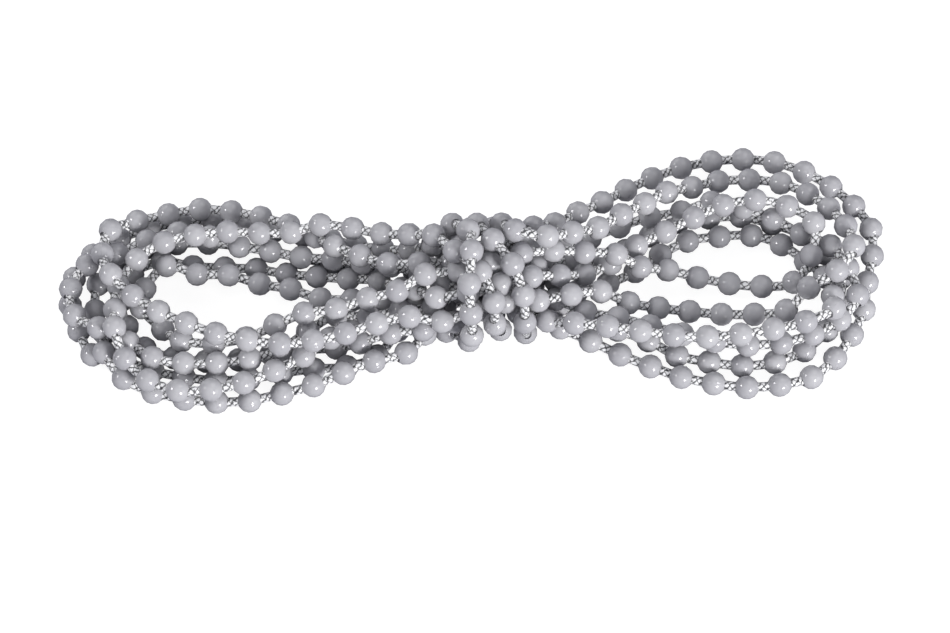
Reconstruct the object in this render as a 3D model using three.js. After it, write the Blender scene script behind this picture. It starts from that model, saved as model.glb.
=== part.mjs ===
// Roller blind chain: plastic balls moulded on an endless cord, folded into a hank.
// Millimetres, +Z up. The hank lies along X on the plane z = 0, with its middle over the origin.

import * as THREE from 'three';
import { mergeVertices } from 'three/addons/utils/BufferGeometryUtils.js';

// Driving dimensions of the chain
const BEAD_DIAMETER = 4.4;
const BEAD_PITCH = 6.0;
const CORD_DIAMETER = 1.7;
const BEAD_CLEARANCE = 0.2;
const NECK_MARGIN = 0.3;
const SHARPEST_BEND = THREE.MathUtils.degToRad(68);

// Driving dimensions of the tied middle
const BUNDLE_RADIUS = 5.3;
const BUNDLE_CORE_RADIUS = 2.3;
const BUNDLE_HALF_LENGTH = 5.0;
const BUNDLE_CENTRE_Y = -1.4;
const WRAP_POINTS_PER_TURN = 12;

// Facets of the solid: a ball is two rings, and the cord between two balls is one
const SIDES = 5;
const BEAD_RING_LATITUDE = THREE.MathUtils.degToRad(32);

// How the chain settles
const SWEEPS = 300;
const LINK_PASSES = 4;
const CONTACT_REFRESH = 8;
const CONTACT_REACH = 2.0;
const CONTACT_EASE = 0.5;
const HOLD_AT_START = 0.12;

const BEAD_RADIUS = BEAD_DIAMETER / 2;
const NECK_RADIUS = CORD_DIAMETER / 2 + NECK_MARGIN;
const LAYER_RISE = 0.91 * BEAD_DIAMETER;
const WRAP_RADIUS = BUNDLE_RADIUS + LAYER_RISE;
const BUNDLE_CENTRE_Z = BEAD_RADIUS + WRAP_RADIUS;

// Loops of the hank, from the middle out and back: x and y in millimetres, then the layer,
// which is 0 for balls that lie on the table and 1 for balls that lie on those.
const LEFT_TOP = [
  [-15.5, 4.5, 2.8], [-24.5, 15, 2.1], [-35, 25.5, 1.2], [-47, 31, 1], [-59, 29.5, 1.2],
  [-65, 26, 1.8], [-65, 18, 2], [-58, 8, 2], [-47.5, -0.5, 2], [-36.5, -5.5, 2.1],
  [-25.5, -6, 2.1], [-15, -6, 2.5],
];
const RIGHT_TOP = [
  [13.5, -9, 2.5], [25.5, -10.5, 1.3], [37.5, -12.5, 0.2], [48.5, -15.5, 0], [59, -17.5, 1],
  [67, -14, 2], [69, -5.5, 1.7], [62.5, 9, 0.6], [51.5, 13, 0.6], [40, 10, 1.6],
  [30, 5.5, 2.6], [19.5, 0.5, 3.4],
];
const LEFT_UPPER = [
  [-12.5, 10, 3.1], [-24, 16.5, 2.2], [-36, 19.5, 1.7], [-47, 23, 1.7], [-58, 22, 1.6],
  [-65.5, 15.5, 1.2], [-66, 3, 1.1], [-60, -6.5, 1.05], [-48, -9.5, 1.05], [-36, -7, 1.05],
  [-25, -1.5, 0.4], [-14, 0, 0.1],
];
const LEFT_SMALL = [
  [-14, 1, 0.9], [-26, 6, 0.6], [-37, 12, 0.6], [-48.5, 17.5, 0.7], [-57, 20.5, 0.3],
  [-61, 15, 0.3], [-58, 8.5, 0.5], [-53, 2, 1], [-42, -1.5, 1.1], [-30, -0.5, 1.7],
  [-18.5, -1, 2.4], [-10, -2, 3.1],
];
const RIGHT_SMALL = [
  [17, -2, 2.7], [29.5, -2, 1.5], [41, -5.5, 0.1], [51.5, -10, 0], [60.5, -11, 0.7],
  [63.5, -6.5, 1.3], [60.5, 0, 1.7], [50.5, 5.5, 1.8], [40, 3, 1.7], [30, -1, 1.6],
  [20, -3.5, 1.7], [11, -3.5, 2.4],
];
const LEFT_LOW = [
  [-13.5, 6, 0.9], [-24.5, 11.5, 0.4], [-36.5, 17, 0], [-48, 20.5, 0], [-57, 23.5, 0],
  [-62.5, 19.5, 0], [-64, 12, 0], [-61.5, 6, 0], [-51.5, -1, 0], [-39.5, -2.5, 0],
  [-28, -4, 0.4], [-16.5, -4.5, 1],
];
const RIGHT_FOLD = [
  [15.5, -13.5, 2.3], [26, -19, 2.2], [37.5, -23, 2], [48.5, -24.5, 2.05], [60, -23.5, 1.9],
  [64.5, -17, 1.3], [62, -7.5, 0.4], [56, -0.5, 0], [45.5, 3, 0], [35, 2, 0],
  [24, -2.5, 0.2], [14, -3, 0.8],
];
const LEFT_OUTER_UPPER = [
  [-20.5, 11.5, 1.2], [-31.5, 17.5, 1], [-43, 22.5, 1], [-53, 27, 1], [-64, 25.5, 1.05],
  [-71.5, 21, 1.05], [-72.5, 13, 1.05], [-69, 7, 1.05], [-59, -1.5, 1], [-47, -3.5, 0.9],
  [-35.5, -2.5, 1], [-24.5, -1.5, 1.2], [-13.5, -2, 1.6],
];
const RIGHT_UPPER = [
  [16.5, -10.5, 1.9], [27.5, -15.5, 1.4], [38, -21.5, 1.05], [48.5, -25.5, 1.05],
  [59, -25, 1.1], [65.5, -20, 1.25], [66.5, -11, 1.25], [62, -2, 1.05], [53, 5, 1],
  [42.5, 7.5, 0.6], [32, 6, 0.6], [21.5, 3.5, 0.9],
];
const LEFT_OUTER_LOW = [
  [-15.5, 11, 0.7], [-27, 16.5, 0.2], [-37.5, 21.5, 0], [-48, 26, 0], [-58, 26.5, 0],
  [-66.5, 24.5, 0], [-70, 16, 0], [-69.5, 6, 0], [-61, -4.5, 0], [-48.5, -9.5, 0],
  [-36.5, -9.5, 0.1], [-24.5, -9, 0.5], [-12.5, -8.5, 1.1],
];
const RIGHT_WIDE = [
  [16.5, -12, 0.4], [25.5, -20, 0], [35.5, -26.5, 0], [45.5, -30.5, 0], [56, -30.5, 0],
  [65.5, -23.5, 0], [71.5, -13, 0], [75, -3, 0], [70.5, 8.5, 0], [61.5, 16.5, 0],
  [50, 19.5, 0], [38.5, 18.5, 0], [27, 14, 0.6], [16.5, 9, 1.6],
];
const LEFT_WIDE = [
  [-10, 8, 2], [-21.5, 16, 0.6], [-33, 24.5, 0], [-44.5, 30.5, 0], [-56, 31.5, 0],
  [-66, 29.5, 0], [-73, 22.5, 0], [-73, 13, 0], [-66.5, 3.5, 0], [-56, -1.5, 0],
  [-44, -5.5, 0], [-32, -6, 0], [-20, -6, 0],
];
const RIGHT_LOW = [
  [16, -9.5, 1.2], [25.5, -14.5, 0.3], [34.5, -21.5, 0], [44, -25.5, 0], [55, -25.5, 0],
  [64, -19, 0], [66.5, -11, 0], [61, -0.5, 0], [52, 6, 0], [41, 7.5, 0.1], [29, 4, 0.5],
  [20, 2, 1],
];

// Turns round the middle: start and end count turns from the top over the back, x is where the
// first one crosses the top, advance is what it moves left a turn, and lean tilts the ring.
const TIGHT_WRAP = { start: 0.02, end: 2.08, x: 8.9, advance: 5.2, lean: 2.2, leanTurn: 0.25 };
const LOOSE_WRAP = { start: 0.57, end: 1.5, x: -2.5, advance: 0, lean: 2.5, leanTurn: 0 };
const LOOSE_WRAP_STANDOFF = 1.0;

// What brings the settled hank's middle over the origin.
const HANK_SHIFT = new THREE.Vector3(-1.0, -0.3, 0);

// A point of a loop at its layer's height.
function loopPoint([x, y, layer]) {
  return new THREE.Vector3(x, y, BEAD_RADIUS + layer * LAYER_RISE);
}

// A point round the middle's axis, turned from the top over the back.
function aroundMiddle(x, radius, turn) {
  const angle = 2 * Math.PI * turn;
  const y = BUNDLE_CENTRE_Y + radius * Math.sin(angle);
  const z = BUNDLE_CENTRE_Z + radius * Math.cos(angle);
  return new THREE.Vector3(x, y, z);
}

// One straight run through the tied middle, in a place round it and towards +X or -X.
function throughMiddle(radius, turn, direction) {
  const from = -direction * BUNDLE_HALF_LENGTH;
  return [aroundMiddle(from, radius, turn), aroundMiddle(-from, radius, turn)];
}

// The turns that tie the middle.
function wrapPoints({ start, end, x, advance, lean, leanTurn }, radius) {
  const steps = Math.round((end - start) * WRAP_POINTS_PER_TURN);
  const points = [];
  for (let step = 0; step <= steps; step++) {
    const turn = start + (end - start) * step / steps;
    const tilt = lean * Math.cos(2 * Math.PI * (turn + leanTurn));
    points.push(aroundMiddle(x - advance * turn + tilt, radius, turn));
  }
  return points;
}

// The whole endless route, loop by loop.
function routePoints() {
  const outer = (place, direction) => throughMiddle(BUNDLE_RADIUS, -place / 8, direction);
  const core = (place, direction) => throughMiddle(BUNDLE_CORE_RADIUS, -(place + 0.5) / 3, direction);
  const loop = (points) => points.map(loopPoint);
  return [
    ...loop(LEFT_TOP), ...outer(2, 1), ...loop(RIGHT_TOP),
    ...wrapPoints(TIGHT_WRAP, WRAP_RADIUS), ...loop(LEFT_UPPER),
    ...wrapPoints(LOOSE_WRAP, WRAP_RADIUS + LOOSE_WRAP_STANDOFF), ...loop(LEFT_SMALL),
    ...outer(0, 1), ...loop(RIGHT_SMALL), ...outer(1, -1), ...loop(LEFT_LOW),
    ...outer(3, 1), ...loop(RIGHT_FOLD), ...core(0, -1), ...loop(LEFT_OUTER_UPPER),
    ...core(1, 1), ...loop(RIGHT_UPPER), ...outer(6, -1), ...loop(LEFT_OUTER_LOW),
    ...outer(4, 1), ...loop(RIGHT_WIDE), ...outer(7, -1), ...loop(LEFT_WIDE),
    ...outer(5, 1), ...loop(RIGHT_LOW), ...core(2, -1),
  ];
}

// Balls at one pitch along the route, in a multiple of four.
function placeBeads() {
  const route = new THREE.CatmullRomCurve3(routePoints(), true, 'centripetal');
  route.arcLengthDivisions = 6000;
  const count = 4 * Math.round(route.getLength() / BEAD_PITCH / 4);
  return route.getSpacedPoints(count).slice(0, count);
}

// Moves two points along the line between them until they are a distance apart.
function moveApart(a, b, distance) {
  const between = b.clone().sub(a);
  const length = Math.max(between.length(), 1e-6);
  between.multiplyScalar((length - distance) / length / 2);
  a.add(between);
  b.sub(between);
}

// Brings neighbouring balls back to the pitch, every second link at a time.
function evenPitch(beads) {
  for (let parity = 0; parity < 2; parity++) {
    for (let i = parity; i < beads.length; i += 2) {
      moveApart(beads[i], beads[(i + 1) % beads.length], BEAD_PITCH);
    }
  }
}

// Opens any bend that is sharper than the cord allows, every fourth ball at a time.
function easeBends(beads) {
  const shortest = 2 * BEAD_PITCH * Math.cos(SHARPEST_BEND / 2);
  for (let offset = 0; offset < 4; offset++) {
    for (let i = offset; i < beads.length; i += 4) {
      const a = beads[i];
      const b = beads[(i + 2) % beads.length];
      if (a.distanceTo(b) < shortest) moveApart(a, b, shortest);
    }
  }
}

// Balls and the necks between them, as spheres: a ball has an even number, a neck an odd one.
function spheresOf(beads) {
  return beads.flatMap((bead, i) => {
    const next = beads[(i + 1) % beads.length];
    return [bead.clone(), bead.clone().add(next).multiplyScalar(0.5)];
  });
}

// The distance that two spheres keep.
function keptDistance(i, j) {
  const radius = (k) => (k % 2 ? NECK_RADIUS : BEAD_RADIUS);
  return radius(i) + radius(j) + BEAD_CLEARANCE;
}

// Pairs of spheres that may come to touch, apart from near neighbours on the cord.
function findContacts(beads) {
  const spheres = spheresOf(beads);
  const contacts = [];
  for (let i = 0; i < spheres.length; i++) {
    const last = Math.min(spheres.length, i + spheres.length - 3);
    for (let j = i + 4; j < last; j++) {
      const reach = keptDistance(i, j) + CONTACT_REACH;
      if (spheres[i].distanceToSquared(spheres[j]) < reach * reach) contacts.push([i, j]);
    }
  }
  return contacts;
}

// Pushes the chain off itself where two spheres are too near each other.
function keepApart(beads, contacts) {
  const spheres = spheresOf(beads);
  const moved = spheres.map((sphere) => sphere.clone());
  for (const [i, j] of contacts) {
    const distance = keptDistance(i, j);
    const between = spheres[j].clone().sub(spheres[i]);
    const length = Math.max(between.length(), 1e-6);
    if (length >= distance) continue;
    between.multiplyScalar(CONTACT_EASE * (distance - length) / length);
    moved[i].sub(between);
    moved[j].add(between);
  }
  const pushes = moved.map((sphere, k) => sphere.sub(spheres[k]));
  beads.forEach((bead, i) => {
    const before = pushes[(2 * i - 1 + pushes.length) % pushes.length];
    bead.add(pushes[2 * i]).add(pushes[2 * i + 1]).add(before);
  });
}

// Lets the chain find its own place near the route: even pitch, no overlap, on the table.
function settle(beads) {
  const start = beads.map((bead) => bead.clone());
  let contacts = [];
  for (let sweep = 0; sweep < SWEEPS; sweep++) {
    if (sweep % CONTACT_REFRESH === 0) contacts = findContacts(beads);
    const hold = HOLD_AT_START * (1 - sweep / SWEEPS);
    beads.forEach((bead, i) => bead.lerp(start[i], hold));
    for (let pass = 0; pass < LINK_PASSES; pass++) evenPitch(beads);
    easeBends(beads);
    keepApart(beads, contacts);
    for (const bead of beads) bead.z = Math.max(bead.z, BEAD_RADIUS);
  }
  return beads;
}

// Centres and directions of the rings: two on each ball, then one on the cord after it.
function ringStations(beads) {
  const along = BEAD_RADIUS * Math.sin(BEAD_RING_LATITUDE);
  const around = BEAD_RADIUS * Math.cos(BEAD_RING_LATITUDE);
  return beads.flatMap((bead, i) => {
    const last = beads[(i - 1 + beads.length) % beads.length];
    const next = beads[(i + 1) % beads.length];
    const tangent = next.clone().sub(last).normalize();
    const link = next.clone().sub(bead).normalize();
    return [
      { centre: bead.clone().addScaledVector(tangent, -along), tangent, radius: around },
      { centre: bead.clone().addScaledVector(tangent, along), tangent, radius: around },
      { centre: bead.clone().lerp(next, 0.5), tangent: link, radius: CORD_DIAMETER / 2 },
    ];
  });
}

// A direction square to the tangent, as near as possible to the one before it.
function carried(normal, tangent) {
  return normal.clone().addScaledVector(tangent, -normal.dot(tangent)).normalize();
}

// Adds to each ring the direction of its first corner, turned half a side from ring to ring.
function turnRings(rings) {
  let normal = carried(new THREE.Vector3(0, 0, 1), rings[0].tangent);
  for (const ring of rings) {
    normal = carried(normal, ring.tangent);
    ring.normal = normal;
  }
  const first = rings[0];
  const end = carried(normal, first.tangent);
  const side = first.tangent.clone().cross(first.normal);
  const closing = Math.atan2(end.dot(side), end.dot(first.normal));
  const turns = Math.round((rings.length * Math.PI / SIDES + closing) / (2 * Math.PI));
  const step = (2 * Math.PI * turns - closing) / rings.length;
  rings.forEach((ring, k) => ring.normal.applyAxisAngle(ring.tangent, k * step));
}

// Corner points of one ring.
function ringCorners({ centre, tangent, normal, radius }) {
  return Array.from({ length: SIDES }, (_, side) => {
    const spoke = normal.clone().applyAxisAngle(tangent, 2 * Math.PI * side / SIDES);
    return centre.clone().addScaledVector(spoke, radius);
  });
}

// The closed skin of balls and cord.
function chainGeometry(beads) {
  const rings = ringStations(beads);
  turnRings(rings);
  const corners = rings.flatMap(ringCorners);
  const indices = [];
  rings.forEach((_, k) => {
    const here = k * SIDES;
    const there = ((k + 1) % rings.length) * SIDES;
    for (let side = 0; side < SIDES; side++) {
      const next = (side + 1) % SIDES;
      indices.push(here + side, here + next, there + side);
      indices.push(here + next, there + next, there + side);
    }
  });
  const geometry = new THREE.BufferGeometry().setFromPoints(corners);
  geometry.setIndex(indices);
  return mergeVertices(geometry, 1e-4);
}

function beadChain() {
  const plastic = new THREE.MeshStandardMaterial({ color: 0xa9aab0, roughness: 0.3, metalness: 0 });
  const beads = settle(placeBeads()).map((bead) => bead.add(HANK_SHIFT));
  const chain = new THREE.Mesh(chainGeometry(beads), plastic);
  chain.name = 'bead_chain';
  return chain;
}

const hank = new THREE.Group();
hank.add(beadChain());

export default hank;
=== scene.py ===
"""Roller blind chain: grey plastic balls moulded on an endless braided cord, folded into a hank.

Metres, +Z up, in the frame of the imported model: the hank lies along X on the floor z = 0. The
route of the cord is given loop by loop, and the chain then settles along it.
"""

import logging
import math
from dataclasses import dataclass, field
from enum import Enum

import bpy
import numpy as np
from mathutils import Matrix


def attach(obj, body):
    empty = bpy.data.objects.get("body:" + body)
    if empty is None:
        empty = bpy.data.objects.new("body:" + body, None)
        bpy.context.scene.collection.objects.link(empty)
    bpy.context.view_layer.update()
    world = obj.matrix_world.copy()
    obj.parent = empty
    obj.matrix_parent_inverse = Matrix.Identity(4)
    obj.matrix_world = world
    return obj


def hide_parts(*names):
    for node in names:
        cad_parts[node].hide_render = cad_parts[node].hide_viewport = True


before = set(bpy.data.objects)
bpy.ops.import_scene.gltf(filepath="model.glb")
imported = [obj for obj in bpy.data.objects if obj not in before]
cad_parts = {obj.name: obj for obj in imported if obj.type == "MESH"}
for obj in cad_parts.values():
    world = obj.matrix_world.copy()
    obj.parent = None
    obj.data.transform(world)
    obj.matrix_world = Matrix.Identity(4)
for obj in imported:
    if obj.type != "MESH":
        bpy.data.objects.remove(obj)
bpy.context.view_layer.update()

LOG = logging.getLogger("blind_chain")
FULL_TURN = 2.0 * math.pi

# Turns round a ball from its parting line to the places furthest from it.
OFF_LINE = 0.25

Loop = tuple[tuple[float, float, float], ...]

# Loops of the hank, from the middle out and back: x and y in metres, then the layer, which is 0
# for balls that lie on the floor and 1 for balls that lie on those.
LEFT_TOP: Loop = (
    (-0.0155, 0.0045, 2.8), (-0.0245, 0.015, 2.1), (-0.035, 0.0255, 1.2), (-0.047, 0.031, 1),
    (-0.059, 0.0295, 1.2), (-0.065, 0.026, 1.8), (-0.065, 0.018, 2), (-0.058, 0.008, 2),
    (-0.0475, -0.0005, 2), (-0.0365, -0.0055, 2.1), (-0.0255, -0.006, 2.1), (-0.015, -0.006, 2.5),
)
RIGHT_TOP: Loop = (
    (0.0135, -0.009, 2.5), (0.0255, -0.0105, 1.3), (0.0375, -0.0125, 0.2), (0.0485, -0.0155, 0),
    (0.059, -0.0175, 1), (0.067, -0.014, 2), (0.069, -0.0055, 1.7), (0.0625, 0.009, 0.6),
    (0.0515, 0.013, 0.6), (0.04, 0.01, 1.6), (0.03, 0.0055, 2.6), (0.0195, 0.0005, 3.4),
)
LEFT_UPPER: Loop = (
    (-0.0125, 0.01, 3.1), (-0.024, 0.0165, 2.2), (-0.036, 0.0195, 1.7), (-0.047, 0.023, 1.7),
    (-0.058, 0.022, 1.6), (-0.0655, 0.0155, 1.2), (-0.066, 0.003, 1.1), (-0.06, -0.0065, 1.05),
    (-0.048, -0.0095, 1.05), (-0.036, -0.007, 1.05), (-0.025, -0.0015, 0.4), (-0.014, 0, 0.1),
)
LEFT_SMALL: Loop = (
    (-0.014, 0.001, 0.9), (-0.026, 0.006, 0.6), (-0.037, 0.012, 0.6), (-0.0485, 0.0175, 0.7),
    (-0.057, 0.0205, 0.3), (-0.061, 0.015, 0.3), (-0.058, 0.0085, 0.5), (-0.053, 0.002, 1),
    (-0.042, -0.0015, 1.1), (-0.03, -0.0005, 1.7), (-0.0185, -0.001, 2.4), (-0.01, -0.002, 3.1),
)
RIGHT_SMALL: Loop = (
    (0.017, -0.002, 2.7), (0.0295, -0.002, 1.5), (0.041, -0.0055, 0.1), (0.0515, -0.01, 0),
    (0.0605, -0.011, 0.7), (0.0635, -0.0065, 1.3), (0.0605, 0, 1.7), (0.0505, 0.0055, 1.8),
    (0.04, 0.003, 1.7), (0.03, -0.001, 1.6), (0.02, -0.0035, 1.7), (0.011, -0.0035, 2.4),
)
LEFT_LOW: Loop = (
    (-0.0135, 0.006, 0.9), (-0.0245, 0.0115, 0.4), (-0.0365, 0.017, 0), (-0.048, 0.0205, 0),
    (-0.057, 0.0235, 0), (-0.0625, 0.0195, 0), (-0.064, 0.012, 0), (-0.0615, 0.006, 0),
    (-0.0515, -0.001, 0), (-0.0395, -0.0025, 0), (-0.028, -0.004, 0.4), (-0.0165, -0.0045, 1),
)
RIGHT_FOLD: Loop = (
    (0.0155, -0.0135, 2.3), (0.026, -0.019, 2.2), (0.0375, -0.023, 2), (0.0485, -0.0245, 2.05),
    (0.06, -0.0235, 1.9), (0.0645, -0.017, 1.3), (0.062, -0.0075, 0.4), (0.056, -0.0005, 0),
    (0.0455, 0.003, 0), (0.035, 0.002, 0), (0.024, -0.0025, 0.2), (0.014, -0.003, 0.8),
)
LEFT_OUTER_UPPER: Loop = (
    (-0.0205, 0.0115, 1.2), (-0.0315, 0.0175, 1), (-0.043, 0.0225, 1), (-0.053, 0.027, 1),
    (-0.064, 0.0255, 1.05), (-0.0715, 0.021, 1.05), (-0.0725, 0.013, 1.05), (-0.069, 0.007, 1.05),
    (-0.059, -0.0015, 1), (-0.047, -0.0035, 0.9), (-0.0355, -0.0025, 1), (-0.0245, -0.0015, 1.2),
    (-0.0135, -0.002, 1.6),
)
RIGHT_UPPER: Loop = (
    (0.0165, -0.0105, 1.9), (0.0275, -0.0155, 1.4), (0.038, -0.0215, 1.05),
    (0.0485, -0.0255, 1.05), (0.059, -0.025, 1.1), (0.0655, -0.02, 1.25), (0.0665, -0.011, 1.25),
    (0.062, -0.002, 1.05), (0.053, 0.005, 1), (0.0425, 0.0075, 0.6), (0.032, 0.006, 0.6),
    (0.0215, 0.0035, 0.9),
)
LEFT_OUTER_LOW: Loop = (
    (-0.0155, 0.011, 0.7), (-0.027, 0.0165, 0.2), (-0.0375, 0.0215, 0), (-0.048, 0.026, 0),
    (-0.058, 0.0265, 0), (-0.0665, 0.0245, 0), (-0.07, 0.016, 0), (-0.0695, 0.006, 0),
    (-0.061, -0.0045, 0), (-0.0485, -0.0095, 0), (-0.0365, -0.0095, 0.1), (-0.0245, -0.009, 0.5),
    (-0.0125, -0.0085, 1.1),
)
RIGHT_WIDE: Loop = (
    (0.0165, -0.012, 0.4), (0.0255, -0.02, 0), (0.0355, -0.0265, 0), (0.0455, -0.0305, 0),
    (0.056, -0.0305, 0), (0.0655, -0.0235, 0), (0.0715, -0.013, 0), (0.075, -0.003, 0),
    (0.0705, 0.0085, 0), (0.0615, 0.0165, 0), (0.05, 0.0195, 0), (0.0385, 0.0185, 0),
    (0.027, 0.014, 0.6), (0.0165, 0.009, 1.6),
)
LEFT_WIDE: Loop = (
    (-0.01, 0.008, 2), (-0.0215, 0.016, 0.6), (-0.033, 0.0245, 0), (-0.0445, 0.0305, 0),
    (-0.056, 0.0315, 0), (-0.066, 0.0295, 0), (-0.073, 0.0225, 0), (-0.073, 0.013, 0),
    (-0.0665, 0.0035, 0), (-0.056, -0.0015, 0), (-0.044, -0.0055, 0), (-0.032, -0.006, 0),
    (-0.02, -0.006, 0),
)
RIGHT_LOW: Loop = (
    (0.016, -0.0095, 1.2), (0.0255, -0.0145, 0.3), (0.0345, -0.0215, 0), (0.044, -0.0255, 0),
    (0.055, -0.0255, 0), (0.064, -0.019, 0), (0.0665, -0.011, 0), (0.061, -0.0005, 0),
    (0.052, 0.006, 0), (0.041, 0.0075, 0.1), (0.029, 0.004, 0.5), (0.02, 0.002, 1),
)


def unit(vectors: np.ndarray) -> np.ndarray:
    """Divide each vector by its length.

    Args:
        vectors: vectors along the last axis.

    Returns:
        Vectors of length one, in the same order.
    """
    return vectors / np.linalg.norm(vectors, axis=-1, keepdims=True)


def dot(first: np.ndarray, second: np.ndarray) -> np.ndarray:
    """Return the dot product of each pair of vectors, keeping the last axis at length one."""
    return np.sum(first * second, axis=-1, keepdims=True)


class Way(Enum):
    """The direction of a run through the tied middle, along X."""

    TO_RIGHT = 1
    TO_LEFT = -1


class Place(Enum):
    """Where a run lies in the tied middle: on its outside or in its core."""

    OUTSIDE = "outside"
    CORE = "core"


@dataclass(frozen=True)
class ChainSizes:
    """Sizes of the chain itself, in metres."""

    ball_diameter: float = 0.0044
    pitch: float = 0.0060
    cord_diameter: float = 0.0017
    clearance: float = 0.0002
    neck_margin: float = 0.0003
    sharpest_bend: float = math.radians(68)
    rise_share: float = 0.91

    @property
    def ball_radius(self) -> float:
        """Return the radius of a ball."""
        return self.ball_diameter / 2

    @property
    def neck_radius(self) -> float:
        """Return the room that the cord between two balls keeps round its centreline."""
        return self.cord_diameter / 2 + self.neck_margin

    @property
    def layer_rise(self) -> float:
        """Return how much higher each layer of balls lies."""
        return self.rise_share * self.ball_diameter


@dataclass(frozen=True)
class Wrap:
    """Turns round the middle: start and end count turns from the top over the back.

    The first one crosses the top at x, and advance is what they move left a turn. Lean tilts the
    ring, most where lean_turn says, and standoff is how far they stay off the tight turns.
    """

    start: float
    end: float
    x: float
    advance: float
    lean: float
    lean_turn: float
    standoff: float


TIGHT_WRAP = Wrap(0.02, 2.08, 0.0089, 0.0052, 0.0022, 0.25, 0.0)
LOOSE_WRAP = Wrap(0.57, 1.5, -0.0025, 0.0, 0.0025, 0.0, 0.001)


@dataclass(frozen=True)
class HankRoute:
    """The listed route of the cord, through the middle and round each loop in turn."""

    sizes: ChainSizes = field(default_factory=ChainSizes)
    bundle_radius: float = 0.0053
    core_radius: float = 0.0023
    half_length: float = 0.0050
    centre_y: float = -0.0014
    outside_places: int = 8
    core_places: int = 3
    points_per_turn: int = 12

    @property
    def wrap_radius(self) -> float:
        """Return the radius of the turns that tie the middle."""
        return self.bundle_radius + self.sizes.layer_rise

    @property
    def centre_z(self) -> float:
        """Return the height of the middle's axis."""
        return self.sizes.ball_radius + self.wrap_radius

    def loop(self, points: Loop) -> np.ndarray:
        """Lift a loop to its layers: z is the ball radius plus the layer times the rise.

        Args:
            points: x, y and layer of each point.

        Returns:
            Points of the route, one a row.
        """
        flat = np.array(points, dtype=float)
        flat[:, 2] = self.sizes.ball_radius + flat[:, 2] * self.sizes.layer_rise
        return flat

    def around(self, x: np.ndarray, radius: float, turn: np.ndarray) -> np.ndarray:
        """Place points round the middle's axis.

        y is the centre plus radius times the sine of the turn, z the centre plus radius times
        its cosine.

        Args:
            x: place of each point along the axis.
            radius: distance from the axis.
            turn: turns from the top over the back, one for each point.

        Returns:
            Points of the route, one a row.
        """
        angle = FULL_TURN * turn
        y = self.centre_y + radius * np.sin(angle)
        z = self.centre_z + radius * np.cos(angle)
        return np.stack([x, y, z], axis=-1)

    def through(self, place: Place, index: int, way: Way) -> np.ndarray:
        """Lay one straight run through the tied middle.

        Args:
            place: outside of the middle, or its core.
            index: which place round it, counted from the top over the front.
            way: towards the right or the left.

        Returns:
            The two end points of the run.
        """
        if place is Place.OUTSIDE:
            radius, turn = self.bundle_radius, -index / self.outside_places
        else:
            radius, turn = self.core_radius, -(index + 0.5) / self.core_places
        x = np.array([-1.0, 1.0]) * way.value * self.half_length
        return self.around(x, radius, np.full(2, turn))

    def wrap(self, wrap: Wrap) -> np.ndarray:
        """Lay turns round the middle.

        x is the wrap's start less its advance times the turn, plus its lean times the cosine of
        the turn.

        Args:
            wrap: the turns and how they lean.

        Returns:
            Points of the route, one a row.
        """
        steps = round((wrap.end - wrap.start) * self.points_per_turn)
        turn = np.linspace(wrap.start, wrap.end, steps + 1)
        tilt = wrap.lean * np.cos(FULL_TURN * (turn + wrap.lean_turn))
        x = wrap.x - wrap.advance * turn + tilt
        return self.around(x, self.wrap_radius + wrap.standoff, turn)

    def points(self) -> np.ndarray:
        """Join the loops, the runs through the middle and the turns round it.

        Returns:
            The whole endless route, one point a row.
        """
        right, left = Way.TO_RIGHT, Way.TO_LEFT
        outside, core = Place.OUTSIDE, Place.CORE
        return np.concatenate([
            self.loop(LEFT_TOP), self.through(outside, 2, right), self.loop(RIGHT_TOP),
            self.wrap(TIGHT_WRAP), self.loop(LEFT_UPPER), self.wrap(LOOSE_WRAP),
            self.loop(LEFT_SMALL), self.through(outside, 0, right), self.loop(RIGHT_SMALL),
            self.through(outside, 1, left), self.loop(LEFT_LOW),
            self.through(outside, 3, right), self.loop(RIGHT_FOLD), self.through(core, 0, left),
            self.loop(LEFT_OUTER_UPPER), self.through(core, 1, right), self.loop(RIGHT_UPPER),
            self.through(outside, 6, left), self.loop(LEFT_OUTER_LOW),
            self.through(outside, 4, right), self.loop(RIGHT_WIDE),
            self.through(outside, 7, left), self.loop(LEFT_WIDE),
            self.through(outside, 5, right), self.loop(RIGHT_LOW), self.through(core, 2, left),
        ])


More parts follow.
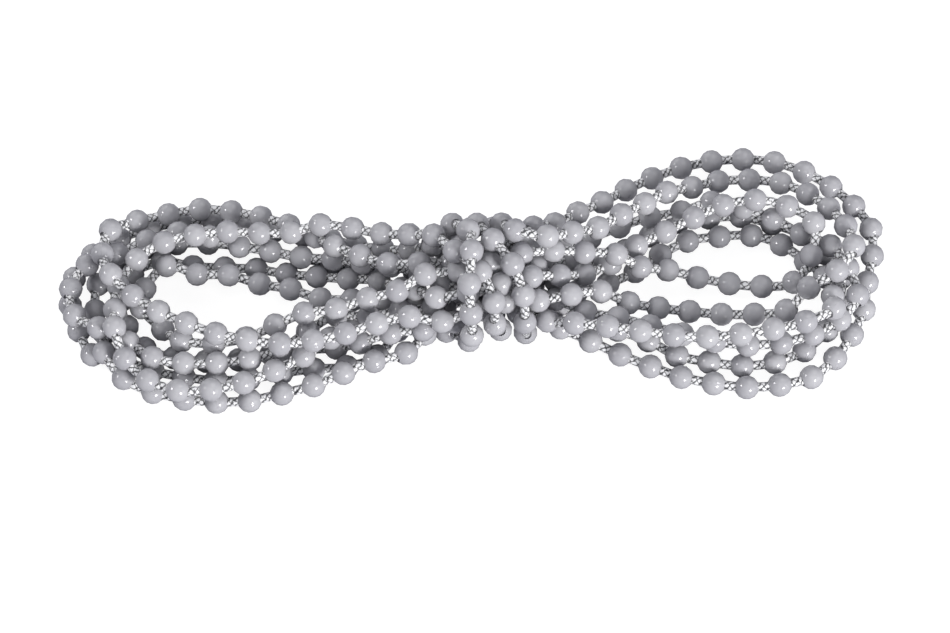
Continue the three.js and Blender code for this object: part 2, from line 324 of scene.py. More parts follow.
@dataclass(frozen=True)
class ClosedCurve:
    """A smooth closed curve through its points, in centripetal spacing."""

    knots: np.ndarray
    divisions: int = 6000

    def at(self, share: np.ndarray) -> np.ndarray:
        """Find points on the curve.

        Between two knots the curve is a cubic in w: c0 + c1 w + c2 w^2 + c3 w^3. Its ends are
        the knots, and its slopes there weigh the chords on both sides by the square roots of
        their lengths.

        Args:
            share: 0 to 1 for the whole way round, with each piece between knots the same share.

        Returns:
            Points, one a row.
        """
        count = len(self.knots)
        place = np.asarray(share) * count
        first = np.floor(place).astype(int)
        w = (place - first)[:, None]
        before, start, end, after = (self.knots[(first + k) % count] for k in (-1, 0, 1, 2))
        gap_before = np.sqrt(np.linalg.norm(start - before, axis=1, keepdims=True))
        gap = np.sqrt(np.linalg.norm(end - start, axis=1, keepdims=True))
        gap_after = np.sqrt(np.linalg.norm(after - end, axis=1, keepdims=True))
        slope_start = gap * ((start - before) / gap_before - (end - before) / (gap_before + gap)
                             + (end - start) / gap)
        slope_end = gap * ((end - start) / gap - (after - start) / (gap + gap_after)
                           + (after - end) / gap_after)
        second = 3 * (end - start) - 2 * slope_start - slope_end
        third = 2 * (start - end) + slope_start + slope_end
        return start + w * (slope_start + w * (second + w * third))

    def travelled(self) -> tuple[np.ndarray, np.ndarray]:
        """Add up the chords between evenly spread shares.

        Returns:
            The shares, and the length travelled to each of them.
        """
        share = np.linspace(0.0, 1.0, self.divisions + 1)
        steps = np.linalg.norm(np.diff(self.at(share), axis=0), axis=1)
        return share, np.concatenate([[0.0], np.cumsum(steps)])

    def length(self) -> float:
        """Return the length of the whole curve."""
        return float(self.travelled()[1][-1])

    def evenly(self, count: int) -> np.ndarray:
        """Spread points evenly along the curve.

        Args:
            count: how many points go round it.

        Returns:
            Points, one a row.
        """
        share, travelled = self.travelled()
        wanted = np.arange(count) / count * travelled[-1]
        return self.at(np.interp(wanted, travelled, share))


@dataclass(frozen=True)
class Settling:
    """How the balls find their own places: even pitch, no overlap, and on the floor."""

    sizes: ChainSizes = field(default_factory=ChainSizes)
    sweeps: int = 300
    link_passes: int = 4
    contact_refresh: int = 8
    contact_reach: float = 0.002
    contact_ease: float = 0.5
    hold_at_start: float = 0.12
    apart_on_cord: int = 4
    bend_stride: int = 4

    def space(self, balls: np.ndarray, first: np.ndarray, step: int, distance: float,
              only_nearer: bool) -> None:
        """Bring pairs of balls to a distance, each by half of what is missing.

        Args:
            balls: centres, changed in place.
            first: the first ball of each pair, no ball being in two pairs.
            step: how many balls further along the other one is.
            distance: what the pairs are brought to.
            only_nearer: leave the pairs that are further apart than that.
        """
        second = (first + step) % len(balls)
        between = balls[second] - balls[first]
        length = np.linalg.norm(between, axis=1, keepdims=True)
        move = between * (length - distance) / length / 2
        if only_nearer:
            move = np.where(length < distance, move, 0.0)
        balls[first] += move
        balls[second] -= move

    def even_pitch(self, balls: np.ndarray) -> None:
        """Bring neighbouring balls back to the pitch, every second link at a time.

        Args:
            balls: centres, changed in place.
        """
        for parity in range(2):
            first = np.arange(parity, len(balls), 2)
            self.space(balls, first, 1, self.sizes.pitch, only_nearer=False)

    def ease_bends(self, balls: np.ndarray) -> None:
        """Open any bend that is sharper than the cord allows, every fourth ball at a time.

        A ball and the next but one are at least as far apart as twice the pitch times the cosine
        of half the sharpest bend.

        Args:
            balls: centres, changed in place.
        """
        shortest = 2 * self.sizes.pitch * math.cos(self.sizes.sharpest_bend / 2)
        for offset in range(self.bend_stride):
            first = np.arange(offset, len(balls), self.bend_stride)
            self.space(balls, first, 2, shortest, only_nearer=True)

    def spheres(self, balls: np.ndarray) -> np.ndarray:
        """Return the balls, and the necks halfway between them, in turn."""
        necks = (balls + np.roll(balls, -1, axis=0)) / 2
        return np.stack([balls, necks], axis=1).reshape(-1, 3)

    def kept(self, first: np.ndarray, second: np.ndarray) -> np.ndarray:
        """Return the distance that spheres keep, given their numbers."""
        radii = np.array([self.sizes.ball_radius, self.sizes.neck_radius])
        return radii[first % 2] + radii[second % 2] + self.sizes.clearance

    def contacts(self, balls: np.ndarray) -> tuple[np.ndarray, np.ndarray]:
        """Find the spheres that may come to touch, apart from near neighbours on the cord.

        Args:
            balls: centres of the balls.

        Returns:
            Numbers of the first and second sphere of each pair.
        """
        spheres = self.spheres(balls)
        first, second = np.triu_indices(len(spheres), self.apart_on_cord)
        not_round_the_end = second - first <= len(spheres) - self.apart_on_cord
        first, second = first[not_round_the_end], second[not_round_the_end]
        distance = np.linalg.norm(spheres[second] - spheres[first], axis=1)
        near = distance < self.kept(first, second) + self.contact_reach
        return first[near], second[near]

    def keep_apart(self, balls: np.ndarray, pairs: tuple[np.ndarray, np.ndarray]) -> None:
        """Push the chain off itself where two spheres are too near each other.

        Args:
            balls: centres, changed in place.
            pairs: numbers of the spheres that may touch.
        """
        first, second = pairs
        spheres = self.spheres(balls)
        between = spheres[second] - spheres[first]
        length = np.linalg.norm(between, axis=1, keepdims=True)
        missing = np.maximum(self.kept(first, second)[:, None] - length, 0.0)
        move = self.contact_ease * between * missing / length
        pushes = np.zeros_like(spheres)
        np.add.at(pushes, first, -move)
        np.add.at(pushes, second, move)
        balls += pushes[0::2] + pushes[1::2] + np.roll(pushes[1::2], 1, axis=0)

    def settle(self, balls: np.ndarray) -> np.ndarray:
        """Let the chain find its place near where it starts.

        Args:
            balls: centres at the start, a multiple of the bend stride of them.

        Returns:
            Centres at rest.
        """
        start = balls.copy()
        balls = balls.copy()
        pairs = self.contacts(balls)
        for sweep in range(self.sweeps):
            if sweep % self.contact_refresh == 0:
                pairs = self.contacts(balls)
            hold = self.hold_at_start * (1 - sweep / self.sweeps)
            balls += (start - balls) * hold
            for _ in range(self.link_passes):
                self.even_pitch(balls)
            self.ease_bends(balls)
            self.keep_apart(balls, pairs)
            balls[:, 2] = np.maximum(balls[:, 2], self.sizes.ball_radius)
        return balls


@dataclass(frozen=True)
class Strand:
    """Stations along the endless cord with an untwisted frame at each: tangent, normal, side."""

    points: np.ndarray
    tangents: np.ndarray
    normals: np.ndarray
    sides: np.ndarray

    @classmethod
    def along(cls, points: np.ndarray, tangents: np.ndarray) -> "Strand":
        """Carry a frame round a closed line without twist.

        Each station takes any normal square to its tangent. The angle by which that normal
        departs from its neighbour's, carried over by the smallest turn between the tangents, is
        summed along the line and turned back, and what is left at the closing is spread evenly.

        Args:
            points: stations of the line, one a row.
            tangents: unit tangents there.

        Returns:
            The stations with their frames.
        """
        least = np.eye(3)[np.argmin(np.abs(tangents), axis=1)]
        normals = unit(np.cross(tangents, least))
        sides = np.cross(tangents, normals)
        after_tangents = np.roll(tangents, -1, axis=0)
        axis = np.cross(tangents, after_tangents)
        cosine = dot(tangents, after_tangents)
        carried = (normals * cosine + np.cross(axis, normals)
                   + axis * dot(axis, normals) / (1 + cosine))
        after_normals, after_sides = np.roll(normals, -1, axis=0), np.roll(sides, -1, axis=0)
        turn = np.arctan2(dot(carried, after_sides), dot(carried, after_normals))[:, 0]
        total = np.cumsum(turn)
        closing = (total[-1] + math.pi) % FULL_TURN - math.pi
        count = len(points)
        angle = np.concatenate([[0.0], total[:-1]]) - closing * np.arange(count) / count
        cosine, sine = np.cos(angle)[:, None], np.sin(angle)[:, None]
        return cls(points, tangents, normals * cosine + sides * sine,
                   sides * cosine - normals * sine)


def add_object(name: str, vertices: np.ndarray, faces: list[np.ndarray]) -> bpy.types.Object:
    """Make a smooth mesh object at the origin, with its place in its mesh.

    Args:
        name: name of the object and its mesh.
        vertices: points, one a row.
        faces: arrays of corner numbers, each with one face a row.

    Returns:
        The new object, linked to the scene.
    """
    mesh = bpy.data.meshes.new(name)
    corners = [row for array in faces for row in array.tolist()]
    mesh.from_pydata(vertices.tolist(), [], corners)
    mesh.polygons.foreach_set("use_smooth", np.ones(len(corners), dtype=bool))
    mesh.update()
    thing = bpy.data.objects.new(name, mesh)
    bpy.context.scene.collection.objects.link(thing)
    return thing


def add_attribute(thing: bpy.types.Object, name: str, values: np.ndarray) -> None:
    """Give each point of a mesh a number that its material can read."""
    attribute = thing.data.attributes.new(name, "FLOAT", "POINT")
    attribute.data.foreach_set("value", values.astype(np.float32).ravel())


def add_uv(thing: bpy.types.Object, corners: np.ndarray) -> None:
    """Give each face corner of a mesh its place in the pattern."""
    layer = thing.data.uv_layers.new(name="pattern")
    layer.data.foreach_set("uv", corners.astype(np.float32).ravel())


def grid_faces(rows: np.ndarray, next_rows: np.ndarray, around: int) -> np.ndarray:
    """Join rings of points by four-sided faces that look away from the line they go round.

    Args:
        rows: number of the first point of each ring.
        next_rows: number of the first point of the ring after it.
        around: points in a ring.

    Returns:
        Corner numbers, one face a row, ring by ring.
    """
    here = np.arange(around)
    there = np.roll(here, -1)
    first, second = rows[:, None], next_rows[:, None]
    quads = np.stack([first + here, first + there, second + there, second + here], axis=-1)
    return quads.reshape(-1, 4)


def grid_pattern(across: np.ndarray, along: np.ndarray) -> np.ndarray:
    """Lay a pattern on the faces of joined rings, in the order of their corners.

    Args:
        across: the pattern's first coordinate at each point of a ring, and again at the first.
        along: its second coordinate at each ring.

    Returns:
        Both coordinates, one face corner a row.
    """
    low, near = np.broadcast_arrays(across[:-1], along[:-1, None])
    high, far = np.broadcast_arrays(across[1:], along[1:, None])
    corners = [(low, near), (high, near), (high, far), (low, far)]
    return np.stack([np.stack(pair, axis=-1) for pair in corners], axis=2).reshape(-1, 2)


class Nodes:
    """Short hand for building the node tree of a material, or of the world."""

    # Places of the sockets of a Mix node, whose kinds share their names.
    FACTOR, LOW_NUMBER, HIGH_NUMBER, NUMBER_RESULT = 0, 2, 3, 0
    LOW_COLOUR, HIGH_COLOUR, COLOUR_RESULT = 6, 7, 2

    def __init__(self, owner: bpy.types.Material | bpy.types.World) -> None:
        """Start an empty tree.

        Args:
            owner: the material or world that the tree belongs to.
        """
        owner.use_nodes = True
        self.tree = owner.node_tree
        self.tree.nodes.clear()

    def add(self, kind: str, settings: dict[str, object] | None = None,
            **values: object) -> bpy.types.Node:
        """Add a node.

        Args:
            kind: its type, without the words that all types share.
            settings: its own settings, by name.
            values: its unlinked inputs, by name with _ for a space.

        Returns:
            The node.
        """
        node = self.tree.nodes.new("ShaderNode" + kind)
        for name, value in (settings or {}).items():
            setattr(node, name, value)
        for name, value in values.items():
            node.inputs[name.replace("_", " ")].default_value = value
        return node

    def join(self, source: bpy.types.NodeSocket, target: bpy.types.NodeSocket) -> None:
        """Link an output to an input."""
        self.tree.links.new(source, target)

    def math(self, operation: str, first: bpy.types.NodeSocket | float,
             second: bpy.types.NodeSocket | float) -> bpy.types.NodeSocket:
        """Add one sum of two inputs, each a socket or a number.

        Args:
            operation: Blender's name for the sum.
            first: first input.
            second: second input.

        Returns:
            The result.
        """
        node = self.add("Math", {"operation": operation})
        for socket, value in zip(node.inputs, (first, second)):
            if isinstance(value, (int, float)):
                socket.default_value = value
            else:
                self.join(value, socket)
        return node.outputs[0]

    def blend(self, factor: bpy.types.NodeSocket, low: tuple[float, ...],
              high: tuple[float, ...]) -> bpy.types.NodeSocket:
        """Mix two plain colours.

        Args:
            factor: 0 for the first colour, 1 for the second.
            low: first colour.
            high: second colour.

        Returns:
            The mixed colour.
        """
        mix = self.add("Mix", {"data_type": "RGBA"})
        mix.inputs[self.LOW_COLOUR].default_value = (*low, 1.0)
        mix.inputs[self.HIGH_COLOUR].default_value = (*high, 1.0)
        self.join(factor, mix.inputs[self.FACTOR])
        return mix.outputs[self.COLOUR_RESULT]

    def choose(self, factor: bpy.types.NodeSocket, low: bpy.types.NodeSocket,
               high: bpy.types.NodeSocket) -> bpy.types.NodeSocket:
        """Mix two numbers.

        Args:
            factor: 0 for the first number, 1 for the second.
            low: first number.
            high: second number.

        Returns:
            The mixed number.
        """
        mix = self.add("Mix")
        self.join(factor, mix.inputs[self.FACTOR])
        self.join(low, mix.inputs[self.LOW_NUMBER])
        self.join(high, mix.inputs[self.HIGH_NUMBER])
        return mix.outputs[self.NUMBER_RESULT]

    def multiply_add(self, first: bpy.types.NodeSocket, second: float,
                     added: bpy.types.NodeSocket | float) -> bpy.types.NodeSocket:
        """Multiply a socket by a number and add to it.

        Args:
            first: what is multiplied.
            second: by how much.
            added: what is added, a socket or a number.

        Returns:
            The result.
        """
        result = self.math("MULTIPLY_ADD", first, second)
        target = result.node.inputs[2]
        if isinstance(added, (int, float)):
            target.default_value = added
        else:
            self.join(added, target)
        return result


@dataclass(frozen=True)
class BallPlastic:
    """Grey moulded plastic: glossy, faintly clouded, with a fine line where the mould parts."""

    dark: tuple[float, float, float] = (0.380, 0.377, 0.402)
    light: tuple[float, float, float] = (0.495, 0.492, 0.512)
    cloud_scale: float = 420.0
    cloud_detail: float = 3.0
    cloud_roughness: float = 0.55
    cloud_share: float = 0.5
    tone_share: float = 0.3
    roughness: tuple[float, float] = (0.10, 0.14)
    refraction: float = 1.49
    polish_scale: float = 900.0
    skin_scale: float = 3200.0
    fine_detail: float = 2.0
    skin_height: float = 0.0000008
    line_width: float = 0.010
    line_height: float = 0.000025

    def build(self) -> bpy.types.Material:
        """Build the nodes.

        The colour goes from dark to light by a half, plus the cloud's share of its noise less a
        half, plus the tone's share of the ball's own tone.

        Returns:
            The material.
        """
        material = bpy.data.materials.new("grey_ball_plastic")
        nodes = Nodes(material)
        place = nodes.add("TexCoord").outputs["Object"]
        cloud = nodes.add("TexNoise", Scale=self.cloud_scale, Detail=self.cloud_detail,
                          Roughness=self.cloud_roughness)
        polish = nodes.add("TexNoise", Scale=self.polish_scale, Detail=self.fine_detail)
        skin = nodes.add("TexNoise", Scale=self.skin_scale, Detail=self.fine_detail)
        for noise in (cloud, polish, skin):
            nodes.join(place, noise.inputs["Vector"])
        tone = nodes.add("Attribute", {"attribute_name": "tone"}).outputs["Fac"]
        clouded = nodes.multiply_add(cloud.outputs["Fac"], self.cloud_share,
                                     0.5 - self.cloud_share / 2)
        shaded = nodes.multiply_add(tone, self.tone_share, clouded)
        shader = nodes.add("BsdfPrincipled", IOR=self.refraction)
        nodes.join(nodes.blend(shaded, self.dark, self.light), shader.inputs["Base Color"])
        gloss = nodes.add("MapRange")
        gloss.inputs["To Min"].default_value = self.roughness[0]
        gloss.inputs["To Max"].default_value = self.roughness[1]
        nodes.join(polish.outputs["Fac"], gloss.inputs["Value"])
        nodes.join(gloss.outputs["Result"], shader.inputs["Roughness"])
        nodes.join(self.relief(nodes, skin.outputs["Fac"]), shader.inputs["Normal"])
        output = nodes.add("OutputMaterial")
        nodes.join(shader.outputs["BSDF"], output.inputs["Surface"])
        return material

    def relief(self, nodes: Nodes, skin: bpy.types.NodeSocket) -> bpy.types.NodeSocket:
        """Raise the skin of the plastic and the parting line.

        The line runs from hole to hole on two sides: its height falls smoothly to nothing over
        its width, measured in turns round the ball.

        Args:
            nodes: the tree being built.
            skin: fine noise for the skin.

        Returns:
            The bent normal.
        """
        pattern = nodes.add("UVMap", {"uv_map": "pattern"}).outputs["UV"]
        split = nodes.add("SeparateXYZ")
        nodes.join(pattern, split.inputs["Vector"])
        off_line = nodes.math("PINGPONG", split.outputs["X"], OFF_LINE)
        line = nodes.add("MapRange", {"interpolation_type": "SMOOTHSTEP"})
        line.inputs["From Max"].default_value = self.line_width
        line.inputs["To Min"].default_value = self.line_height
        line.inputs["To Max"].default_value = 0.0
        nodes.join(off_line, line.inputs["Value"])
        bump = nodes.add("Bump", Strength=1.0, Distance=1.0)
        height = nodes.multiply_add(skin, self.skin_height, line.outputs["Result"])
        nodes.join(height, bump.inputs["Height"])
        return bump.outputs["Normal"]


@dataclass(frozen=True)
class BraidedYarn:
    """White shiny yarn, tightly laid: painted shade in gaps on one diagonal, narrower across them.
    """

    crest: tuple[float, float, float] = (0.93, 0.93, 0.94)
    # Painted shade: the near-black colour of the gaps between yarns, and how far up each yarn it
    # reaches.
    gap: tuple[float, float, float] = (0.015, 0.015, 0.02)
    gap_shade_share: float = 0.92
    # Painted shade at the crossings, where a yarn dips under the other: how far it reaches and how
    # much darker it gets.
    cross_shade_share: float = 0.6
    cross_shade_depth: float = 0.85
    wander: float = 1.2
    wander_scale: float = 1300.0
    wander_detail: float = 1.0
    dome_height: float = 0.00008
    dome_power: float = 0.6
    fibres: float = 5.0
    fibre_height: float = 0.00001
    roughness: float = 0.3
    refraction: float = 1.53
    sheen: float = 0.2

    def build(self) -> bpy.types.Material:
        """Build the nodes.

        The pattern's first coordinate counts yarns round the cord, and its second one counts
        crossings along it. Their sum and difference, a and b, count the yarns of each diagonal,
        and noise lets them wander. The sizes of sin(pi a) and sin(pi b) are 0 in the gaps and 1
        on the crest of each yarn. The colour is that of the crest by the unshaded part of the
        first, times one less the cross shade where the second is 0: painted shade, nearly black
        in the gaps between yarns and lighter where a yarn dips under the one that crosses it.

        Returns:
            The material.
        """
        material = bpy.data.materials.new("white_braided_yarn")
        nodes = Nodes(material)
        pattern = nodes.add("UVMap", {"uv_map": "pattern"}).outputs["UV"]
        split = nodes.add("SeparateXYZ")
        nodes.join(pattern, split.inputs["Vector"])
        across, along = split.outputs["X"], split.outputs["Y"]
        drift = nodes.add("TexNoise", Scale=self.wander_scale, Detail=self.wander_detail)
        nodes.join(nodes.add("TexCoord").outputs["Object"], drift.inputs["Vector"])
        strayed = nodes.math("MULTIPLY", drift.outputs["Fac"], self.wander)
        rising = nodes.math("ADD", nodes.math("ADD", across, along), strayed)
        falling = nodes.math("SUBTRACT", nodes.math("SUBTRACT", across, along), strayed)
        rising_dome = nodes.math("ABSOLUTE", self.wave(nodes, rising, 1.0), 0.0)
        falling_dome = nodes.math("ABSOLUTE", self.wave(nodes, falling, 1.0), 0.0)
        dome = nodes.math("MULTIPLY", rising_dome, falling_dome)
        # Painted shade: the gaps between yarns and the dips at each crossing darken the yarn's
        # colour.
        cross_shaded = nodes.multiply_add(self.opening(nodes, falling_dome, self.cross_shade_share),
                                     self.cross_shade_depth, 1.0 - self.cross_shade_depth)
        unshaded = nodes.math("MULTIPLY", self.opening(nodes, rising_dome, self.gap_shade_share), cross_shaded)
        shader = nodes.add("BsdfPrincipled", Roughness=self.roughness, IOR=self.refraction,
                           Sheen_Weight=self.sheen)
        nodes.join(nodes.blend(unshaded, self.gap, self.crest), shader.inputs["Base Color"])
        bump = nodes.add("Bump", Strength=1.0, Distance=1.0)
        nodes.join(self.relief(nodes, dome, rising, falling), bump.inputs["Height"])
        nodes.join(bump.outputs["Normal"], shader.inputs["Normal"])
        output = nodes.add("OutputMaterial")
        nodes.join(shader.outputs["BSDF"], output.inputs["Surface"])
        return material

    def wave(self, nodes: Nodes, count: bpy.types.NodeSocket,
             often: float) -> bpy.types.NodeSocket:
        """Return the sine of pi times a count of yarns, or of fibres where often is above 1."""
        return nodes.math("SINE", nodes.math("MULTIPLY", count, math.pi * often), 0.0)

    def opening(self, nodes: Nodes, dome: bpy.types.NodeSocket,
                share: float) -> bpy.types.NodeSocket:
        """Open the gaps between yarns.

        Args:
            nodes: the tree being built.
            dome: 0 in the gaps and 1 on the crests.
            share: height of the dome at which a gap ends.

        Returns:
            0 in a gap, where the painted shade is full, rising smoothly to 1 where it ends.
        """
        unshaded = nodes.add("MapRange", {"interpolation_type": "SMOOTHSTEP"})
        unshaded.inputs["From Max"].default_value = share
        nodes.join(dome, unshaded.inputs["Value"])
        return unshaded.outputs["Result"]

    def relief(self, nodes: Nodes, dome: bpy.types.NodeSocket, rising: bpy.types.NodeSocket,
               falling: bpy.types.NodeSocket) -> bpy.types.NodeSocket:
        """Raise each crossing, and the fibres of the yarn that lies on top there.

        Whole yarns of both diagonals are added up: where the sum is odd the falling yarn is on
        top, and where it is even the rising one.

        Args:
            nodes: the tree being built.
            dome: 0 in the gaps and 1 on the crests.
            rising: yarns counted on one diagonal.
            falling: yarns counted on the other.

        Returns:
            The height in metres.
        """
        whole = nodes.math("ADD", nodes.math("FLOOR", rising, 0.0),
                           nodes.math("FLOOR", falling, 0.0))
        odd = nodes.math("PINGPONG", whole, 1.0)
        fibres = nodes.choose(odd, self.wave(nodes, rising, self.fibres),
                              self.wave(nodes, falling, self.fibres))
        fine = nodes.math("MULTIPLY", nodes.math("ABSOLUTE", fibres, 0.0), self.fibre_height)
        round_yarn = nodes.math("POWER", dome, self.dome_power)
        return nodes.multiply_add(round_yarn, self.dome_height, fine)


@dataclass(frozen=True)
class FloorPaper:
    """Pale paper that the camera sees as white, with the soft shadow of what lies on it."""

    bounce: tuple[float, float, float] = (0.350, 0.352, 0.390)
    seen: tuple[float, float, float] = (0.95, 0.95, 0.95)
    white_share: float = 0.8
    white_strength: float = 1.16

    def build(self) -> bpy.types.Material:
        """Build the nodes.

        What the camera sees is white by the white share, and pale paper with its shadow by the
        rest. All other light meets the darker bounce colour.

        Returns:
            The material.
        """
        material = bpy.data.materials.new("pale_floor_paper")
        nodes = Nodes(material)
        camera = nodes.add("LightPath").outputs["Is Camera Ray"]
        paper = nodes.add("BsdfDiffuse")
        nodes.join(nodes.blend(camera, self.bounce, self.seen), paper.inputs["Color"])
        white = nodes.add("Emission", Strength=self.white_strength)
        share = nodes.math("MULTIPLY", camera, self.white_share)
        mix = nodes.add("MixShader")
        nodes.join(share, mix.inputs["Fac"])
        nodes.join(paper.outputs["BSDF"], mix.inputs[1])
        nodes.join(white.outputs["Emission"], mix.inputs[2])
        output = nodes.add("OutputMaterial")
        nodes.join(mix.outputs["Shader"], output.inputs["Surface"])
        return material


@dataclass
class BraidedCord:
    """The endless cord, braided, through all the balls."""

    sizes: ChainSizes
    curve: ClosedCurve
    balls: np.ndarray
    finish: BraidedYarn = field(default_factory=BraidedYarn)
    around: int = 14
    sections_a_pitch: int = 9
    crowding: float = 0.07
    yarns: int = 4
    crossing: float = 0.0012
    tangent_step: float = 0.01

    def stations(self) -> Strand:
        """Spread cross sections along the cord, close together where it shows.

        Within a pitch that starts at a ball, section u of 1 stands at u plus the crowding times
        the sine of u turns, which brings sections together halfway to the next ball. A tangent
        runs from a hundredth of a pitch before its station to as much after it.

        Returns:
            The stations with their frames.
        """
        count = len(self.balls)
        step = np.arange(self.sections_a_pitch) / self.sections_a_pitch
        share = step + self.crowding * np.sin(FULL_TURN * step)
        place = (np.arange(count)[:, None] + share).ravel() / count
        nudge = self.tangent_step / count
        after = self.curve.at((place + nudge) % 1.0)
        before = self.curve.at((place - nudge) % 1.0)
        return Strand.along(self.curve.at(place), unit(after - before))

    def build(self) -> bpy.types.Object:
        """Carry a round section along the cord.

        A point is its station plus the radius times the cosine of its angle along the normal
        and the sine of it along the side.

        Returns:
            The cord.
        """
        strand = self.stations()
        angle = FULL_TURN * np.arange(self.around) / self.around
        spoke = (np.cos(angle)[:, None] * strand.normals[:, None, :]
                 + np.sin(angle)[:, None] * strand.sides[:, None, :])
        vertices = strand.points[:, None, :] + self.sizes.cord_diameter / 2 * spoke
        rows = np.arange(len(strand.points)) * self.around
        cord = add_object("braided_cord", vertices.reshape(-1, 3),
                          [grid_faces(rows, np.roll(rows, -1), self.around)])
        steps = np.linalg.norm(np.diff(strand.points, axis=0, append=strand.points[:1]), axis=1)
        travelled = np.concatenate([[0.0], np.cumsum(steps)])
        crossings = round(travelled[-1] / self.crossing)
        across = np.linspace(0.0, self.yarns, self.around + 1)
        add_uv(cord, grid_pattern(across, crossings * travelled / travelled[-1]))
        cord.data.materials.append(self.finish.build())
        LOG.info("%s: %.4f m, %d crossings, %d faces", cord.name, travelled[-1], crossings,
                 len(cord.data.polygons))
        return cord


@dataclass
class MouldedBalls:
    """All the balls of the chain, each moulded on the cord at one pitch from the last."""

    sizes: ChainSizes
    centres: np.ndarray
    strand: Strand
    finish: BallPlastic = field(default_factory=BallPlastic)
    around: int = 12
    round_bands: int = 5
    rim_latitude: float = math.radians(65)
    hole_depth: float = 0.0003
    hole_clearance: float = 0.00005
    facet_growth: float = 1.010
    tone_seed: int = 7

    def profile(self) -> tuple[np.ndarray, np.ndarray]:
        """Work out the rings of one ball, from the bottom of one hole to that of the other.

        At latitude l a ring stands at the sine of l along the cord and is as wide as its cosine,
        both times the radius. The radius is a little larger so that the facets keep the size.
        From each rim a short cone leads in to the cord.

        Returns:
            Place along the cord and distance from it, for each ring.
        """
        latitude = np.linspace(-self.rim_latitude, self.rim_latitude, self.round_bands + 1)
        radius = self.sizes.ball_radius * self.facet_growth
        along, out = radius * np.sin(latitude), radius * np.cos(latitude)
        bottom = along[-1] - self.hole_depth
        narrow = self.sizes.cord_diameter / 2 + self.hole_clearance
        return (np.concatenate([[-bottom], along, [bottom]]),
                np.concatenate([[narrow], out, [narrow]]))

    def build(self) -> bpy.types.Object:
        """Set a ball on each place, its mould line turned by its own angle.

        A point is the ball's centre plus its place along the tangent, plus its distance out
        times the cosine of its angle along the normal and the sine of it along the side. The
        surface is shaded as if it faced straight away from the centre.

        Returns:
            The balls as one object.
        """
        count = len(self.centres)
        random = np.random.default_rng(self.tone_seed)
        roll = FULL_TURN * random.random(count)[:, None]
        tone = random.uniform(-1.0, 1.0, count)
        along, out = self.profile()
        angle = FULL_TURN * np.arange(self.around) / self.around + roll
        spoke = (np.cos(angle)[..., None] * self.strand.normals[:, None, :]
                 + np.sin(angle)[..., None] * self.strand.sides[:, None, :])
        vertices = (self.centres[:, None, None, :]
                    + along[None, :, None, None] * self.strand.tangents[:, None, None, :]
                    + out[None, :, None, None] * spoke[:, None, :, :])
        rings = len(along)
        first = (np.arange(count)[:, None] * rings + np.arange(rings - 1)).ravel() * self.around
        quads = grid_faces(first, first + self.around, self.around)
        ring = np.arange(self.around)
        ball = np.arange(count)[:, None] * rings * self.around
        caps = np.concatenate([ball + ring[::-1], ball + (rings - 1) * self.around + ring])
        balls = add_object("moulded_balls", vertices.reshape(-1, 3), [quads, caps])
        outward = unit(vertices - self.centres[:, None, None, :]).reshape(-1, 3)
        balls.data.normals_split_custom_set_from_vertices(outward.tolist())
        add_attribute(balls, "tone", np.repeat(tone, rings * self.around))
        quad = grid_pattern(np.linspace(0.0, 1.0, self.around + 1), np.linspace(0.0, 1.0, rings))
        cap = np.full((2 * count * self.around, 2), OFF_LINE)
        add_uv(balls, np.concatenate([np.tile(quad, (count, 1)), cap]))
        balls.data.materials.append(self.finish.build())
        LOG.info("%s: %d balls, %d faces", balls.name, count, len(balls.data.polygons))
        return balls


@dataclass
class BlindChain:
    """The whole chain: it settles along the listed route, and then gets cord and balls."""

    sizes: ChainSizes = field(default_factory=ChainSizes)
    shift: tuple[float, float, float] = (-0.001, -0.0003, 0.0)
    path_points_a_pitch: int = 3

    def centres(self) -> np.ndarray:
        """Spread balls along the route, let them settle and bring the middle over the origin.

        Returns:
            The centres of all balls at rest, one a row.
        """
        route = ClosedCurve(HankRoute(self.sizes).points())
        settling = Settling(self.sizes)
        stride = settling.bend_stride
        count = stride * round(route.length() / self.sizes.pitch / stride)
        return settling.settle(route.evenly(count)) + np.array(self.shift)

    def build(self) -> None:
        """Make the cord and the balls, hang them on the root body and hide the imported chain."""
        centres = self.centres()
        curve = ClosedCurve(centres)
        tangents = unit(np.roll(centres, -1, axis=0) - np.roll(centres, 1, axis=0))
        cord = BraidedCord(self.sizes, curve, centres).build()
        balls = MouldedBalls(self.sizes, centres, Strand.along(centres, tangents)).build()
        for piece in (cord, balls):
            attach(piece, "root")
            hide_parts("bead_chain")


@dataclass(frozen=True)
class PhotoCamera:
    """The camera, looking down on the hank from the front as in the photograph."""

    elevation: float = math.radians(57)
    heading: float = math.radians(10)
    roll: float = math.radians(-3.9)
    distance: float = 0.52
    target: tuple[float, float, float] = (-0.001, -0.0003, 0.008)
    aim_below: float = 0.00578
    lens_mm: float = 107.4
    sensor_mm: float = 36.0

    def build(self) -> bpy.types.Object:
        """Place the camera and make it the scene's own.

        The line of sight goes down by the elevation and turns from +Y by the heading, and the
        picture leans by the roll. The camera then tips down until it looks just below the
        target, which puts the hank a little above the middle of the picture.

        Returns:
            The camera.
        """
        level = np.array([math.sin(self.heading), math.cos(self.heading), 0.0])
        up = np.array([0.0, 0.0, 1.0])
        forward = math.cos(self.elevation) * level - math.sin(self.elevation) * up
        across = np.cross(level, up)
        rise = np.cross(across, forward)
        right = math.cos(self.roll) * across + math.sin(self.roll) * rise
        top = np.cross(right, forward)
        place = np.array(self.target) - self.distance * forward
        sight = unit(np.array(self.target) - self.aim_below * top - place)
        top = np.cross(right, sight)
        data = bpy.data.cameras.new("photo_camera")
        data.lens = self.lens_mm
        data.sensor_width = self.sensor_mm
        camera = bpy.data.objects.new("photo_camera", data)
        axes = Matrix(np.column_stack([right, top, -sight]).tolist()).to_4x4()
        camera.matrix_world = Matrix.Translation(place.tolist()) @ axes
        bpy.context.scene.collection.objects.link(camera)
        bpy.context.scene.camera = camera
        return camera


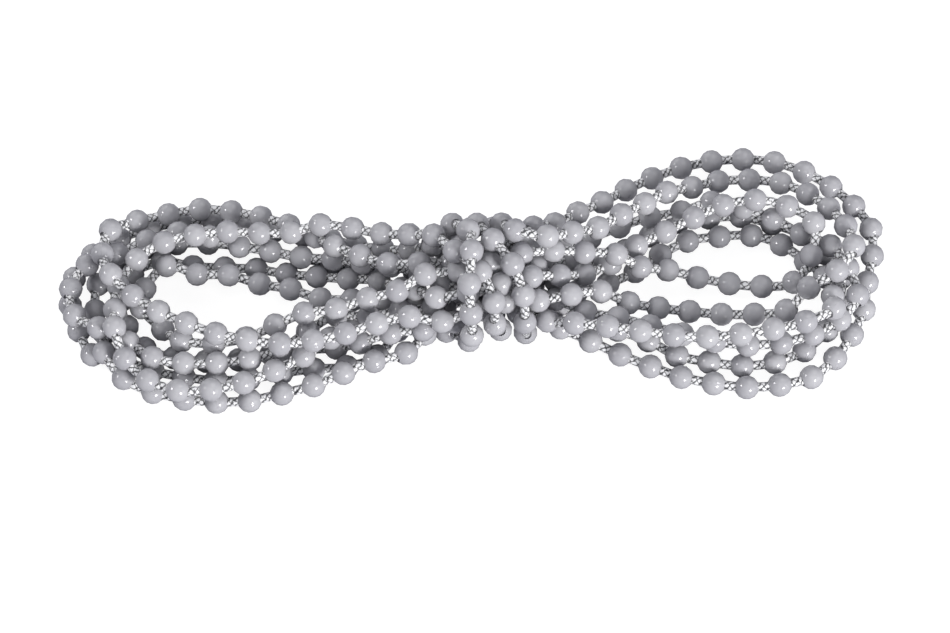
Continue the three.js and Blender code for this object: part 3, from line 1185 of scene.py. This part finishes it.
@dataclass(frozen=True)
class StudioLamp:
    """A round soft lamp that looks at the hank from a direction.

    Its level is the light it adds on a surface that faces it, where 1 shows a colour as it is.
    """

    name: str
    azimuth: float
    elevation: float
    distance: float
    diameter: float
    level: float

    def build(self) -> bpy.types.Object:
        """Hang the lamp at its azimuth from +X over +Y and its elevation, both in degrees.

        A disk of power p lights a surface that faces it at distance d by p / (pi d)^2.

        Returns:
            The lamp.
        """
        turn, rise = math.radians(self.azimuth), math.radians(self.elevation)
        towards = np.array([math.cos(rise) * math.cos(turn), math.cos(rise) * math.sin(turn),
                            math.sin(rise)])
        data = bpy.data.lights.new(self.name, "AREA")
        data.shape = "DISK"
        data.size = self.diameter
        data.energy = self.level * (math.pi * self.distance) ** 2
        lamp = bpy.data.objects.new(self.name, data)
        level = unit(np.array([-towards[1], towards[0], 0.0]))
        axes = np.column_stack([level, np.cross(towards, level), towards])
        lamp.matrix_world = (Matrix.Translation((towards * self.distance).tolist())
                             @ Matrix(axes.tolist()).to_4x4())
        bpy.context.scene.collection.objects.link(lamp)
        return lamp


@dataclass(frozen=True)
class Studio:
    """White floor, even surrounding light and soft lamps."""

    floor_radius: float = 3.0
    floor_sides: int = 96
    surround: float = 0.25
    surround_tint: tuple[float, float, float] = (0.97, 0.98, 1.08)
    finish: FloorPaper = field(default_factory=FloorPaper)
    lamps: tuple[StudioLamp, ...] = (
        StudioLamp("left_lamp", 170.0, 36.0, 1.4, 0.30, 0.30),
        StudioLamp("right_lamp", -70.0, 18.0, 1.4, 0.46, 0.90),
        StudioLamp("rear_softbox", 26.0, 58.0, 1.4, 1.0, 0.17),
        StudioLamp("side_softbox", -50.0, 8.0, 1.4, 1.2, 0.28),
        StudioLamp("high_softbox", -100.0, 62.0, 1.6, 1.2, 0.08),
        StudioLamp("back_softbox", 110.0, 25.0, 1.4, 1.2, 0.24),
    )

    def build(self) -> None:
        """Lay the floor, light the world and hang the lamps."""
        angle = FULL_TURN * np.arange(self.floor_sides) / self.floor_sides
        rim = self.floor_radius * np.stack([np.cos(angle), np.sin(angle), 0 * angle], axis=-1)
        floor = add_object("floor", rim, [np.arange(self.floor_sides)[None, :]])
        floor.data.materials.append(self.finish.build())
        self.light_world()
        for lamp in self.lamps:
            lamp.build()
            LOG.info("%s: level %.2f", lamp.name, lamp.level)

    def light_world(self) -> None:
        """Surround the object with even light, which the camera sees as white."""
        world = bpy.data.worlds.new("studio")
        nodes = Nodes(world)
        seen = nodes.add("LightPath").outputs["Is Camera Ray"]
        light = nodes.add("Background", Color=(*self.surround_tint, 1.0),
                          Strength=self.surround)
        white = nodes.add("Background", Color=(1.0, 1.0, 1.0, 1.0), Strength=1.0)
        mix = nodes.add("MixShader")
        nodes.join(seen, mix.inputs["Fac"])
        nodes.join(light.outputs["Background"], mix.inputs[1])
        nodes.join(white.outputs["Background"], mix.inputs[2])
        output = nodes.add("OutputWorld")
        nodes.join(mix.outputs["Shader"], output.inputs["Surface"])
        bpy.context.scene.world = world


def main() -> None:
    """Build the camera, the chain and the studio round it."""
    logging.basicConfig(level=logging.INFO, format="%(name)s: %(message)s")
    bpy.context.scene.view_settings.view_transform = "Standard"
    PhotoCamera().build()
    BlindChain().build()
    Studio().build()


if __name__ == "__main__":
    main()
